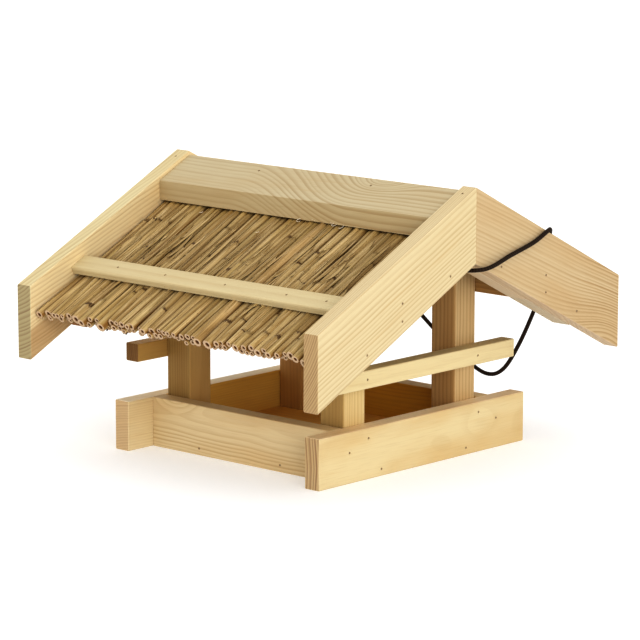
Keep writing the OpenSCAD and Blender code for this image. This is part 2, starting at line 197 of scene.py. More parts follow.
class Web:
    """A node tree, shader or geometry, to which nodes are added."""

    def __init__(self, tree):
        self.tree = tree

    def node(self, kind, sockets=None, out=None, **settings):
        """Adds a node: first its settings, then the values or links of its sockets."""
        made = self.tree.nodes.new(kind)
        for name, value in settings.items():
            setattr(made, name, value)
        for key, value in (sockets or {}).items():
            if isinstance(key, int):
                socket = made.inputs[key]
            else:
                socket = next(s for s in made.inputs if s.name == key and s.enabled)
            self.fill(socket, value)
        if not made.outputs:
            return made
        output = next(s for s in made.outputs if s.enabled) if out is None else made.outputs[out]
        return Wire(self, output)

    def fill(self, socket, value):
        """Links a wire to a socket, or sets the socket's value."""
        if isinstance(value, Wire):
            self.tree.links.new(value.socket, socket)
        else:
            socket.default_value = value

    def surface(self, colour, roughness, specular=0.5, metallic=0.0,
                height=None, strength=0.5, distance=0.0002):
        """Fills the sockets of a material's shader, with a bump if there is a height."""
        values = {"Base Color": colour, "Roughness": roughness, "Specular IOR Level": specular,
                  "Metallic": metallic}
        if height:
            bump = {"Strength": strength, "Distance": distance, "Height": height}
            values["Normal"] = self.node("ShaderNodeBump", bump)
        shader = self.tree.nodes["Principled BSDF"]
        for name, value in values.items():
            self.fill(shader.inputs[name], value)

    def place(self):
        """The shaded point, in its object's own frame."""
        return self.node("ShaderNodeTexCoord")["Object"]

    def mark(self, name, out="Fac"):
        """A mark that the mesh carries."""
        return self.node("ShaderNodeAttribute", out=out, attribute_name=name)

    def vector(self, x, y, z):
        """A vector from three values."""
        return self.node("ShaderNodeCombineXYZ", {0: x, 1: y, 2: z})

    def parts(self, vector):
        """A vector's X, Y and Z."""
        made = self.node("ShaderNodeSeparateXYZ", {0: vector})
        return made["X"], made["Y"], made["Z"]

    def scaled(self, vector, factors):
        """A vector with each part multiplied."""
        return self.node("ShaderNodeVectorMath", {0: vector, 1: factors}, operation="MULTIPLY")

    def dot(self, vector, other):
        """How far two directions agree, from -1 to 1."""
        return self.node("ShaderNodeVectorMath", {0: vector, 1: other}, "Value", operation="DOT_PRODUCT")

    def noise(self, vector, scale=1.0, detail=2.0, roughness=0.5):
        """Noise from about 0 to 1 on a vector."""
        sockets = {"Vector": vector, "Scale": scale, "Detail": detail, "Roughness": roughness}
        return self.node("ShaderNodeTexNoise", sockets)

    def dice(self, wire):
        """A chance number from 0 to 1 for each value of a wire."""
        return self.node("ShaderNodeTexWhiteNoise", {"W": wire}, "Value", noise_dimensions="1D")

    def ease(self, wire, low, high, to_low=0.0, to_high=1.0):
        """A smooth step from one value to another, as a wire goes from low to high."""
        sockets = {"Value": wire, "From Min": low, "From Max": high, "To Min": to_low, "To Max": to_high}
        return self.node("ShaderNodeMapRange", sockets, interpolation_type="SMOOTHSTEP")

    def mix(self, factor, a, b, blend="MIX"):
        """Mixes two colours."""
        sockets = {0: factor, 6: a, 7: b}
        return self.node("ShaderNodeMix", sockets, 2, data_type="RGBA", blend_type=blend)

    def tint(self, colour, factors, share=1.0):
        """Multiplies a colour by three factors, in full or in part."""
        return self.mix(share, colour, (*factors, 1.0), "MULTIPLY")

    def ramp(self, wire, stops):
        """The colour for a value, between stops of (value, colour)."""
        made = self.node("ShaderNodeValToRGB", {0: wire})
        elements = made.socket.node.color_ramp.elements
        while len(elements) < len(stops):
            elements.new(0.5)
        for element, (place, colour) in zip(elements, stops):
            element.position = place
            element.color = colour
        return made["Color"]


def seen(red, green, blue):
    """A colour as the photograph shows it, 0 to 255, made linear for a shader."""
    parts = [(c / 255) ** PRINT_CONTRAST for c in (red, green, blue)]
    return (*[c / 12.92 if c < 0.04045 else ((c + 0.055) / 1.055) ** 2.4 for c in parts], 1.0)


def new_material(name):
    """An empty material and its web."""
    material = bpy.data.materials.new(name)
    material.use_nodes = True
    return material, Web(material.node_tree)


# %% [markdown]
# ## Pine
#
# A pine board is a slice of a tree, so its pattern is worked out in the solid: every growth ring is
# a tube round the pith, the centre of the log, which lies outside most boards. The distance from
# that line, divided by the width of a ring, gives the ring. Where the rings cross a face at a right
# angle they leave straight lines, and where they graze it, broad flames. The end grain agrees with
# the faces by itself, which a flat texture can't do.
#
# Each board has its own log: where the pith lies, how wide its rings are, and how much they wander.

# %% Pine
PALE_WOOD = seen(210, 188, 142)
DARK_RING = seen(168, 134, 84)
WARM_WOOD = seen(196, 160, 104)
END_WOOD = seen(178, 144, 100)
END_RING = seen(120, 78, 50)
FIBRE_SCALE = (28, 900, 900)
GRAIN_SCALE = (9, 160, 160)
PATCH_SCALE = (8, 26, 26)
WANDER_ALONG = 7
WANDER_ACROSS = 16
UNEVEN_SCALE = 60
UNEVEN_RINGS = 2.4
INNER_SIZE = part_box("tray_floor")[1][:2]


def board_axes(along, wide):
    """A board's own axes, as a turn: X along the grain, Y across its width, Z through it."""
    thick = along.cross(wide).normalized()
    return Matrix((along, thick.cross(along), thick)).transposed()


def pine(name, centre, along, wide, *, pith, ring, tilt, contrast, wander, warm, shift, swirls=(),
         sweep=None, graze=0.3, end_lines=0.85, tone=(1.0, 1.0, 1.0), face_shading=(), inside=None):
    """Pine with its rings round a pith at a distance (across, through) from the board's middle.

    swirls are places (along, across, (reach along, reach across), depth) where the rings bend round
    a knot that isn't there, and sweep (start, end, depth) is where the whole trunk bends. graze is
    how much of the lines is left where a face lies along the rings. contrast may be (start, end, at
    start, at end). The tints by face direction are painted light and shade: (direction, tint)
    lightens or darkens faces that turn that way, and (direction, tint, across) only the part of
    such a face below a line, as a painted shadow of the reeds. inside is painted bounce light, the
    tint of what lies within the tray: light that has bounced between boards is warm and deep.
    """
    material, web = new_material(name)
    axes = board_axes(along, wide)
    place = web.place()
    sockets = {"Vector": place, "Location": centre, "Rotation": axes.to_euler()}
    local = web.node("ShaderNodeMapping", sockets, vector_type="TEXTURE")
    run, across, through = web.parts(local)

    # The rings wander slowly along the board, and a little from side to side
    def drift(start):
        at = web.vector(run * WANDER_ALONG + shift + start, across * WANDER_ACROSS, through * WANDER_ACROSS)
        return (web.noise(at) - 0.5) * (2 * wander)

    y = across - pith[0] - run * tilt[0] + drift(0)
    z = through - pith[1] - run * tilt[1] + drift(31)
    radius = (y * y + z * z) ** 0.5
    for at_run, at_across, reach, depth in swirls:
        far = ((run - at_run) / reach[0]) ** 2 + ((across - at_across) / reach[1]) ** 2
        radius = radius + (far * -1).sum("EXPONENT") * depth
    if sweep:
        radius = radius + web.ease(run, sweep[0], sweep[1], 0.0, sweep[2])
    uneven = web.noise(web.vector(radius * UNEVEN_SCALE + shift, 0.0, 0.0))
    count = radius / ring + uneven * UNEVEN_RINGS
    phase = count.sum("FRACT")
    late = web.ease(phase, 0.30, 0.90) * web.ease(phase, 0.93, 1.0, 1.0, 0.0)
    late = late * (web.dice(count.sum("FLOOR") + shift) * 0.55 + 0.45)

    # Where a face lies along the rings they show as soft patches, without lines
    normal = web.node("ShaderNodeNewGeometry")["Normal"]
    outward = web.dot(normal, axes.col[1]) * y + web.dot(normal, axes.col[2]) * z
    grazing = (outward / radius).sum("ABSOLUTE")
    late = late * web.ease(grazing, 0.86, 0.99, 1.0, graze)

    # Fibres, flecks and broad patches of tone
    fibre = web.noise(web.scaled(local, FIBRE_SCALE), detail=3.0, roughness=0.6)
    grain = web.noise(web.scaled(local, GRAIN_SCALE), detail=3.0, roughness=0.55)
    patch = web.noise(web.scaled(local, PATCH_SCALE))
    colour = web.mix(web.ease(patch, 0.35, 0.75) * warm, PALE_WOOD, WARM_WOOD)
    if isinstance(contrast, tuple):
        contrast = web.ease(run, *contrast)
    colour = web.mix(late * contrast, colour, DARK_RING)
    colour = web.mix(web.ease(fibre, 0.45, 0.75) * 0.22, colour, DARK_RING)
    colour = web.mix(web.ease(grain, 0.52, 0.78) * 0.25, colour, WARM_WOOD)

    # End grain drinks in light: darker, redder, with sharper rings
    end = web.ease(web.dot(normal, axes.col[0]).sum("ABSOLUTE"), 0.75, 0.85)
    colour = web.mix(end * 0.8, colour, web.mix(late * end_lines, END_WOOD, END_RING))
    colour = web.tint(colour, tone)
    # Painted light and shade: faces that turn one way are tinted lighter or darker, some only below a line,
    # where the reeds' shadow is painted
    for direction, factors, *below in face_shading:
        facing_share = web.ease(web.dot(normal, direction), 0.5, 0.8)
        if below:
            facing_share = facing_share * web.ease(across, below[0] - 0.004, below[0] + 0.003, 1.0, 0.0)
        colour = web.tint(colour, factors, facing_share)
    # Painted bounce light: within the tray the wood is tinted warm and deep
    if inside:
        within_x, within_y = [web.ease(part.sum("ABSOLUTE"), limit + 0.0002, limit + 0.0006, 1.0, 0.0)
                              for part, limit in zip(web.parts(place), INNER_SIZE)]
        colour = web.tint(colour, inside, within_x * within_y)

    roughness = 0.62 - late * 0.12 + end * 0.2
    web.surface(colour, roughness, 0.35, height=late * 0.5 + fibre * 0.5, strength=0.35, distance=0.0003)
    return material


# %% [markdown]
# ## Boards
#
# A planed board's edge is a flat of half a millimetre that catches the light. Each board is wrapped
# in the hull of the solid that it replaces, which fills the nail holes. The corners of the hull's
# faces then move in a little, and the hull of those points has the flats along its edges. One cutter
# sinks the nail heads again. Only the cross boards aren't convex: their notches are cut last.

# %% Nail heads
EDGE_EASE = 0.00045
DENT_RADIUS = 0.0012
DENT_DEPTH = 0.00055
PIN_MIDDLE = DENT_DEPTH + 0.0009
PIN_LENGTH = 2 * (DENT_DEPTH + 0.001)
PIN_FLARE = 1.1
FOOT_DEPTH = 5e-4
HEAD_DEPTH = 2e-4
NAIL_NODES = ["tray_nails", "perch_nails", "post_nails", "gable_nails", "ridge_nails", "lath_nails"]


def islands(mesh):
    """The separate solids of a mesh, each as a list of points."""
    work = bmesh.new()
    work.from_mesh(mesh)
    bmesh.ops.remove_doubles(work, verts=work.verts, dist=1e-6)
    unseen = dict.fromkeys(work.verts)
    found = []
    while unseen:
        stack = [unseen.popitem()[0]]
        solid = []
        while stack:
            vertex = stack.pop()
            solid.append(vertex.co.copy())
            for edge in vertex.link_edges:
                near = edge.other_vert(vertex)
                if near in unseen:
                    del unseen[near]
                    stack.append(near)
        found.append(solid)
    work.free()
    return found


def middle_of(points):
    """The mean of points."""
    return sum(points, Vector()) / len(points)


def nail_heads():
    """Each nail's head, as the middle of its upper face and the way out of the wood."""
    found = []
    for name in NAIL_NODES:
        for points in islands(NODES[name].data):
            middle = middle_of(points)
            tip = max(points, key=lambda p: (p - middle).length)
            rough = (middle - tip).normalized()
            low = min(rough.dot(p) for p in points)
            high = max(rough.dot(p) for p in points)
            foot = middle_of([p for p in points if rough.dot(p) < low + FOOT_DEPTH])
            head = middle_of([p for p in points if rough.dot(p) > high - HEAD_DEPTH])
            found.append((head, (head - foot).normalized()))
    return found


heads = nail_heads()
print("nails:", len(heads))

# %% Boards with eased edges
MERGE_DISTANCE = 0.0001
FLAT_ANGLE = math.radians(1)
SHARP_ANGLE = math.radians(30)


def convex(points):
    """The convex hull of points, its flat faces whole."""
    work = bmesh.new()
    for point in points:
        work.verts.new(point)
    bmesh.ops.remove_doubles(work, verts=work.verts, dist=MERGE_DISTANCE)
    made = bmesh.ops.convex_hull(work, input=work.verts)
    left_over = made["geom_interior"] + made["geom_unused"]
    spare = dict.fromkeys(g for g in left_over if isinstance(g, bmesh.types.BMVert))
    bmesh.ops.delete(work, geom=list(spare), context="VERTS")
    bmesh.ops.dissolve_limit(work, angle_limit=FLAT_ANGLE, verts=work.verts, edges=work.edges)
    bmesh.ops.recalc_face_normals(work, faces=work.faces)
    return work


def planed_corner(loop):
    """Where a face's corner moves to when its sharp edges are planed off."""
    face, vertex = loop.face, loop.vert
    before, after = loop.link_loop_prev.edge, loop.edge
    back = (before.other_vert(vertex).co - vertex.co).normalized()
    ahead = (after.other_vert(vertex).co - vertex.co).normalized()
    from_before = face.normal.cross(-back)
    from_after = face.normal.cross(ahead)
    before_sharp = before.calc_face_angle(0) > SHARP_ANGLE
    after_sharp = after.calc_face_angle(0) > SHARP_ANGLE
    if before_sharp and after_sharp:
        return vertex.co + (from_before + from_after) * (EDGE_EASE / (1 + from_before.dot(from_after)))
    if before_sharp:
        return vertex.co + ahead * (EDGE_EASE / ahead.dot(from_before))
    if after_sharp:
        return vertex.co + back * (EDGE_EASE / back.dot(from_after))
    return vertex.co.copy()


def mesh_from(work, name):
    """Turns a finished bmesh into a mesh."""
    mesh = bpy.data.meshes.new(name)
    work.to_mesh(mesh)
    work.free()
    return mesh


def hull_of(node):
    """The convex hull of a CAD node, with a narrow flat planed along its sharp edges."""
    solid = convex([v.co for v in NODES[node].data.vertices])
    planed = convex([planed_corner(loop) for face in solid.faces for loop in face.loops])
    solid.free()
    return mesh_from(planed, node)


def dent_cutter():
    """One mesh of short pins, one for each nail head, that cuts the dents over the heads."""
    work = bmesh.new()
    for head, out in heads:
        turn = out.to_track_quat("Z", "Y").to_matrix().to_4x4()
        place = Matrix.Translation(head + out * PIN_MIDDLE) @ turn
        bmesh.ops.create_cone(work, cap_ends=True, segments=16, radius1=DENT_RADIUS,
                              radius2=DENT_RADIUS * PIN_FLARE, depth=PIN_LENGTH, matrix=place)
    return add_object("dent_cutter", mesh_from(work, "dent_cutter"))


def applied(piece):
    """Applies a piece's modifiers, so that nothing live is left on it."""
    whole = piece.evaluated_get(bpy.context.evaluated_depsgraph_get())
    mesh = bpy.data.meshes.new_from_object(whole)
    piece.modifiers.clear()
    piece.data = mesh


def cut_out(piece, tool):
    """Takes one object's space out of a piece."""
    cut = piece.modifiers.new("cut", "BOOLEAN")
    cut.operation = "DIFFERENCE"
    cut.solver = "EXACT"
    cut.object = tool
    applied(piece)


def board(node, slot, along, wide, log):
    """A board in place of a CAD node: its hull, eased, dented by the nails, and made of its own log."""
    low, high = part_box(node)
    mesh = hull_of(node)
    mesh.materials.append(pine(node, (low + high) / 2, along, wide, **log))
    piece = add_object(node + "_wood", mesh)
    cut_out(piece, cutter)
    piece.data.shade_flat()
    declare(piece, slot, node)
    return piece


# %% [markdown]
# ### Which way each board lies
#
# Boards run along the ridge, across the house, up the posts, or down the slopes. Those that the
# photograph shows have their logs given one by one: the front right gable board has straight fine
# lines, the back one waves, the ridge board swirls round a hidden knot, and the right side board is
# cut flat across its rings. The rest get a log by chance, from a fixed seed.

# %% The boards' directions
PITCH = math.radians(26.6)
ALONG_X = Vector((1, 0, 0))
ALONG_Y = Vector((0, 1, 0))
ALONG_Z = Vector((0, 0, 1))


def slope(side):
    """The ways down the front (-1) or back (1) slope, and out of it."""
    down = Vector((0, side * math.cos(PITCH), -math.sin(PITCH)))
    out = Vector((0, side * math.sin(PITCH), math.cos(PITCH)))
    return down, out


def chance_log(seed):
    """A log by chance for a board that shows little."""
    draw = random.Random(seed)
    angle = draw.uniform(0, 2 * math.pi)
    far = draw.uniform(0.05, 0.13)
    return {
        "pith": (far * math.cos(angle), far * math.sin(angle)),
        "ring": draw.uniform(0.0023, 0.0034),
        "tilt": (draw.uniform(-0.02, 0.02), draw.uniform(-0.02, 0.02)),
        "contrast": draw.uniform(0.45, 0.7),
        "wander": draw.uniform(0.0015, 0.003),
        "warm": draw.uniform(0.2, 0.5),
        "shift": draw.uniform(0, 50),
    }


DEEP_SHADE = (0.80, 0.52, 0.18)
FRONT = -ALONG_Y
RIGHT = ALONG_X
UP = ALONG_Z
DOWN_FRONT, OUT_FRONT = slope(-1)
_, OUT_BACK = slope(1)
# Painted light and shade: the tints by face direction lighten or darken faces as light falls on them, and
# the deep warm tones of the posts, the cross boards and the front left lower ledger are partly painted
# shade under the roof
CHOSEN_LOGS = {
    "gable_board_front_right": dict(
        pith=(0.085, 0.124), ring=0.00244, wander=0.0012, contrast=0.62, warm=0.1, tone=(0.87, 0.89, 0.90),
        face_shading=[(FRONT, (0.96, 0.92, 0.84)), (OUT_FRONT, (1.09, 1.08, 1.08))]),
    "gable_board_back_right": dict(
        pith=(-0.10, 0.045), ring=0.0037, wander=0.0028, tilt=(0.05, 0.0), contrast=(0.0, 0.12, 0.5, 1.3),
        warm=0.45, swirls=[(0.125, -0.030, (0.060, 0.038), -0.022)], tone=(0.775, 0.735, 0.715), shift=7,
        face_shading=[(-OUT_BACK, (1.16, 1.19, 1.36))]),
    "gable_board_front_left": dict(
        pith=(0.085, 0.040), ring=0.0034, wander=0.005, tilt=(0.08, 0.02), graze=0.6, contrast=0.65,
        warm=0.4, tone=(1.06, 1.075, 1.08), shift=21,
        face_shading=[(FRONT, (0.71, 0.79, 0.78)), (RIGHT, (0.76, 0.67, 0.60), -0.006),
                (OUT_FRONT, (0.94, 0.98, 0.98))]),
    "ridge_board_front": dict(
        pith=(-0.060, -0.055), ring=0.0048, wander=0.0026, warm=0.3, contrast=(-0.10, 0.0, 0.4, 0.75),
        graze=0.9, sweep=(-0.085, 0.075, -0.050), tone=(0.82, 0.845, 0.885), shift=3,
        swirls=[(0.084, -0.028, (0.030, 0.019), -0.020)], face_shading=[(DOWN_FRONT, (0.89, 0.84, 0.75))]),
    "tray_front": dict(
        pith=(0.020, -0.036), ring=0.0023, wander=0.0036, contrast=0.75, warm=0.5, shift=11,
        swirls=[(-0.086, 0.027, (0.026, 0.010), 0.010)], tone=(0.965, 0.945, 0.925), inside=DEEP_SHADE),
    "tray_back": dict(tone=(1.0, 0.94, 0.84), inside=(0.80, 0.54, 0.09), contrast=0.4),
    "tray_side_right": dict(
        pith=(0.0, -0.15), ring=0.0037, wander=0.004, contrast=0.5, warm=0.8, end_lines=1.4, shift=5,
        swirls=[(0.085, 0.004, (0.03, 0.016), 0.006)], tone=(0.93, 0.94, 0.91),
        face_shading=[(UP, (1.3, 1.3, 1.5))], inside=DEEP_SHADE),
    "tray_side_left": dict(
        pith=(-0.12, 0.02), ring=0.0027, wander=0.002, contrast=0.3, warm=0.5, end_lines=0.4, shift=9,
        face_shading=[(UP, (1.28, 1.42, 1.8))], inside=(1.16, 0.94, 0.37)),
    "tray_floor": dict(inside=(1.09, 0.80, 0.34), contrast=0.5, warm=0.6),
    "perch_rail_right": dict(
        pith=(0.03, -0.09), ring=0.004, tilt=(0.03, 0.0), contrast=0.35, warm=0.05,
        tone=(0.94, 0.96, 0.92)),
    "perch_rail_left": dict(
        contrast=0.6, warm=0.5, tone=(0.94, 0.91, 0.86),
        face_shading=[(RIGHT, (0.85, 0.70, 0.41)), (FRONT, (0.47, 0.37, 0.24)), (UP, (1.25, 1.25, 1.25))]),
    "top_lath_front": dict(pith=(0.05, 0.09), ring=0.004, contrast=0.25, warm=0.1, tone=(0.9, 0.92, 0.9)),
    "post_front_left": dict(
        contrast=0.85, warm=0.6, tone=(0.95, 0.80, 0.56),
        face_shading=[(FRONT, (0.60, 0.58, 0.48)), (RIGHT, (0.90, 0.88, 0.80))]),
    "post_front_right": dict(
        contrast=0.6, warm=0.5, tone=(0.92, 0.88, 0.74), face_shading=[(FRONT, (0.72, 0.64, 0.49))]),
    "post_back_left": dict(
        contrast=0.5, warm=0.6, tone=(0.92, 0.84, 0.70),
        face_shading=[(FRONT, (0.87, 0.71, 0.49)), (RIGHT, (0.87, 0.71, 0.49))]),
    "post_back_right": dict(
        pith=(0.06, 0.05), ring=0.0032, contrast=0.9, warm=0.5, tone=(0.80, 0.72, 0.62), shift=2,
        face_shading=[(FRONT, (0.9, 0.8, 0.66))]),
    "upper_ledger_back_right": dict(contrast=0.5, warm=0.4, tone=(0.95, 0.97, 1.14)),
    "lower_ledger_back_right": dict(contrast=0.5, warm=0.4, tone=(0.88, 0.94, 1.14)),
    "lower_ledger_front_left": dict(contrast=0.7, warm=0.8, tone=(0.74, 0.58, 0.46)),
    "cross_board_front": dict(pith=(0.05, 0.06), contrast=0.8, tone=(0.86, 0.72, 0.52), warm=0.9),
    "cross_board_back": dict(pith=(0.05, 0.06), contrast=0.9, tone=(0.68, 0.54, 0.38), warm=0.9, shift=4),
}

# %% Making the boards
OWN_SLOTS = ("cross_board", "top_lath", "gable_board")


def board_rows():
    """Each board's node, and the ways along and across it. A row's number is its log's seed."""
    rows = [("tray_floor", ALONG_X, ALONG_Y), ("ridge_beam", ALONG_X, ALONG_Y)]
    for side in SIDES:
        rows += [(f"tray_side_{side}", ALONG_Y, ALONG_Z), (f"perch_rail_{side}", ALONG_Y, ALONG_Z)]
    for end, way in ENDS:
        down, out = slope(way)
        rows += [(f"tray_{end}", ALONG_X, ALONG_Z), (f"cross_board_{end}", ALONG_X, ALONG_Z),
                 (f"ridge_board_{end}", ALONG_X, down), (f"under_lath_{end}", ALONG_X, down),
                 (f"top_lath_{end}", ALONG_X, down)]
        for side in SIDES:
            rows += [(f"post_{end}_{side}", ALONG_Z, ALONG_X), (f"gable_board_{end}_{side}", down, out),
                     (f"upper_ledger_{end}_{side}", down, out), (f"lower_ledger_{end}_{side}", down, out)]
    return rows


cutter = dent_cutter()
boards = {}
for number, (node, along, wide) in enumerate(board_rows(), 1):
    log = {**chance_log(number), **CHOSEN_LOGS.get(node, {})}
    slot = next((own for own in OWN_SLOTS if node.startswith(own)), "pine")
    boards[node] = board(node, slot, along, wide, log)
for end, _ in ENDS:
    for side in SIDES:
        cut_out(boards[f"cross_board_{end}"], boards[f"lower_ledger_{end}_{side}"])
bpy.data.objects.remove(cutter)
print("boards:", len(boards))

# %% Nails
def mottled(name, first, second, scale, roughness, metallic=0.0):
    """A material in two tones, mixed by fine noise that also changes its roughness."""
    material, web = new_material(name)
    fleck = web.noise(web.place(), scale)
    colour = web.mix(web.ease(fleck, 0.4, 0.6), first, second)
    web.surface(colour, roughness + fleck * 0.3, metallic=metallic)
    return material


nail_steel = mottled("dull_steel", seen(112, 92, 66), seen(146, 124, 94), 900, 0.35, metallic=0.5)
for name in NAIL_NODES:
    materials = NODES[name].data.materials
    materials.clear()
    materials.append(nail_steel)

# %% [markdown]
# ## Trees of nodes
#
# The cord follows a path and the reeds repeat, so Geometry Nodes make both: a tree with named
# inputs is built once and run with different values. Its result is turned into a plain mesh at
# once, so that nothing live is left on the piece.

# %% Building and running a tree
KINDS = {"Geometry": "Geometry", "Material": "Material", "Stalks": "Collection", "Count": "Int",
         "Seed": "Int", "Sides": "Int"}


def new_tree(name, inputs):
    """An empty geometry tree with named inputs: its web, and its inputs as wires."""
    tree = bpy.data.node_groups.new(name, "GeometryNodeTree")
    tree.interface.new_socket("Geometry", in_out="OUTPUT", socket_type="NodeSocketGeometry")
    for label in inputs:
        kind = "NodeSocket" + KINDS.get(label, "Float")
        tree.interface.new_socket(label, in_out="INPUT", socket_type=kind)
    start = tree.nodes.new("NodeGroupInput")
    web = Web(tree)
    return web, {label: Wire(web, start.outputs[label]) for label in inputs}


def end_tree(web, geometry, material):
    """Ends a tree as plain geometry with its material."""
    real = web.node("GeometryNodeRealizeInstances", {"Geometry": geometry})
    smooth = web.node("GeometryNodeSetShadeSmooth", {"Geometry": real})
    dressed = web.node("GeometryNodeSetMaterial", {"Geometry": smooth, "Material": material})
    web.node("NodeGroupOutput", {0: dressed})
    return web.tree


def named(web, geometry, name, value, kind="FLOAT", domain="POINT"):
    """Stores a field on the geometry under a name that a material can read."""
    sockets = {"Geometry": geometry, "Name": name, "Value": value}
    return web.node("GeometryNodeStoreNamedAttribute", sockets, data_type=kind, domain=domain)


def grown(name, tree, values, mesh=None):
    """An object with a tree's result as its mesh."""
    piece = add_object(name, mesh or bpy.data.meshes.new(name))
    modifier = piece.modifiers.new("tree", "NODES")
    modifier.node_group = tree
    for socket in tree.interface.items_tree:
        if socket.in_out == "INPUT" and socket.name in values:
            modifier[socket.identifier] = values[socket.name]
    applied(piece)
    print(name, "faces:", len(piece.data.polygons))
    return piece


# %% [markdown]
# ## Cord
#
# The house hangs by one black braided cord, 4 mm thick and 1.23 m long. It goes through under the
# ridge, over the back gable boards, and hangs slack behind the back eave. Its ends are tied on the
# back slope. It follows the same points as its solid.
#
# A braid is two sets of strands that wind opposite ways. The product of two sines, one for each
# way, lifts the surface where strands cross, and the tree moves the tube's skin by it.

# %% The cord's route
CORD_DIAMETER = 0.004
ROUTE_STEPS = 12
HALF_LOOP = [
    (75, 0, 188.8), (145, 0, 193.8), (180, 0.3, 197), (197, 3, 198.3), (204.4, 15.5, 200.8),
    (202.5, 48, 208.2), (202.2, 82, 216.2), (201.4, 104.5, 224.8), (196, 115, 224.5), (188, 125, 219.4),
    (180, 134, 214.3), (167, 144, 198.5), (147, 158, 189.4)]
FIRST_END = [(-131, 176, 174)]
SLACK = [
    (128, 181.5, 171.2), (112, 205.5, 156.8), (104.5, 218.7, 144), (93, 219.5, 117), (74, 219.5, 80),
    (54, 219.5, 52), (33, 219.5, 44), (6, 219.5, 54), (-40, 219.5, 82), (-84, 219.5, 117),
    (-99, 219.1, 143), (-106.5, 212.5, 154.8), (-114, 200, 162)]
MIRRORED = [(-x, y, z) for x, y, z in reversed(HALF_LOOP)]
ROUTE = [Vector(p) / 1000 for p in FIRST_END + MIRRORED + HALF_LOOP + SLACK]


def smooth_path(points, steps):
    """Points on a Catmull-Rom curve through the given ones, steps to each stretch."""
    path = []
    last = len(points) - 1
    for i in range(last):
        a = points[max(i - 1, 0)]
        b, c = points[i], points[i + 1]
        d = points[min(i + 2, last)]
        for step in range(steps):
            t = step / steps
            path.append(0.5 * (2 * b + (c - a) * t + (2 * a - 5 * b + 4 * c - d) * t ** 2
                               + (3 * b - a - 3 * c + d) * t ** 3))
    return path + [points[-1].copy()]


def path_length(path):
    """The length of a line of points."""
    return sum((b - a).length for a, b in zip(path, path[1:]))


CORD_PATH = smooth_path(ROUTE, ROUTE_STEPS)
print("cord length:", round(path_length(CORD_PATH), 4))

# %% The braid
BRAID_STRANDS = 5
BRAID_PITCH = 0.0054
BRAID_RELIEF = 0.00011
BRAID_STEP = 0.0008
BRAID_SIDES = 20


def braid_wave(web, ring, along):
    """The angle round the cord, the way along it, and the height of the crossing strands."""
    x, y, _ = web.parts(ring)
    turn = y.sum("ARCTAN2", x) * BRAID_STRANDS
    lay = along * (2 * math.pi / BRAID_PITCH)
    return turn, lay, (turn + lay).sum("SINE") * (turn - lay).sum("SINE")


def braid_tree():
    """A tube along a line, its skin lifted where strands cross."""
    web, given = new_tree("braid", ["Geometry", "Diameter", "Step", "Sides", "Relief", "Material"])
    line = web.node("GeometryNodeMeshToCurve", {"Mesh": given["Geometry"]})
    line = web.node("GeometryNodeResampleCurve", {"Curve": line, "Length": given["Step"]}, mode="LENGTH")
    line = named(web, line, "along", web.node("GeometryNodeSplineParameter")["Length"])
    circle = web.node("GeometryNodeCurvePrimitiveCircle", {"Resolution": given["Sides"], "Radius": 1.0})
    circle = named(web, circle, "ring", web.node("GeometryNodeInputPosition"), "FLOAT_VECTOR")
    radius = web.vector(given["Diameter"] / 2, given["Diameter"] / 2, 1.0)
    circle = web.node("GeometryNodeTransform", {"Geometry": circle, "Scale": radius})
    tube = web.node("GeometryNodeCurveToMesh", {"Curve": line, "Profile Curve": circle, "Fill Caps": True})
    ring = web.node("GeometryNodeInputNamedAttribute", {"Name": "ring"}, data_type="FLOAT_VECTOR")
    along = web.node("GeometryNodeInputNamedAttribute", {"Name": "along"}, data_type="FLOAT")
    _, _, wave = braid_wave(web, ring, along)
    push = {0: web.node("GeometryNodeInputNormal"), "Scale": wave * given["Relief"]}
    offset = web.node("ShaderNodeVectorMath", push, operation="SCALE")
    moved = web.node("GeometryNodeSetPosition", {"Geometry": tube, "Offset": offset})
    return end_tree(web, moved, given["Material"])


def cord_material():
    """Black braided cord: each strand a little glossier along its crown than in the gaps, where painted
    shade also darkens it.
    """
    material, web = new_material("black_cord")
    turn, lay, wave = braid_wave(web, web.mark("ring", "Vector"), web.mark("along"))
    threads = ((turn * 3 + lay * 3).sum("SINE") + (turn * 3 - lay * 3).sum("SINE")) * 0.5
    crown = web.ease(wave + threads * 0.25, -0.8, 1.0)
    # Painted shade: the gaps between the strands are darker than the crowns
    colour = web.mix(crown, seen(14, 7, 2), seen(34, 22, 12))
    web.surface(colour, 0.76 - crown * 0.25, 0.22, height=threads, distance=0.0001)
    return material


def lines_mesh(name, lines):
    """A mesh of edges only, from several lines of points."""
    points = [tuple(p) for line in lines for p in line]
    edges = []
    first = 0
    for line in lines:
        edges += [(first + i, first + i + 1) for i in range(len(line) - 1)]
        first += len(line)
    mesh = bpy.data.meshes.new(name)
    mesh.from_pydata(points, edges, [])
    return mesh


braid = braid_tree()
cord_black = cord_material()


def braided(name, lines):
    """Braided cord along one or more lines of points."""
    values = {"Diameter": CORD_DIAMETER, "Step": BRAID_STEP, "Sides": BRAID_SIDES,
              "Relief": BRAID_RELIEF, "Material": cord_black}
    return grown(name, braid, values, lines_mesh(name, lines))


cord = braided("hanging_cord_braid", [CORD_PATH])

# %% [markdown]
# The knot joins the two ends: one end runs straight through, and the other winds round it in
# three close turns, the way a fisherman's knot is drawn tight. A short tail leaves each side.

# %% The knot
KNOT_TURNS = 3.4
KNOT_STEPS = 72
KNOT_WIND = 0.9 * CORD_DIAMETER
KNOT_SPAN = (0.16, 0.84)
KNOT_START = 0.1
KNOT_TAIL = 0.017
CORE_STEPS = 12
TAIL_STEPS = 6


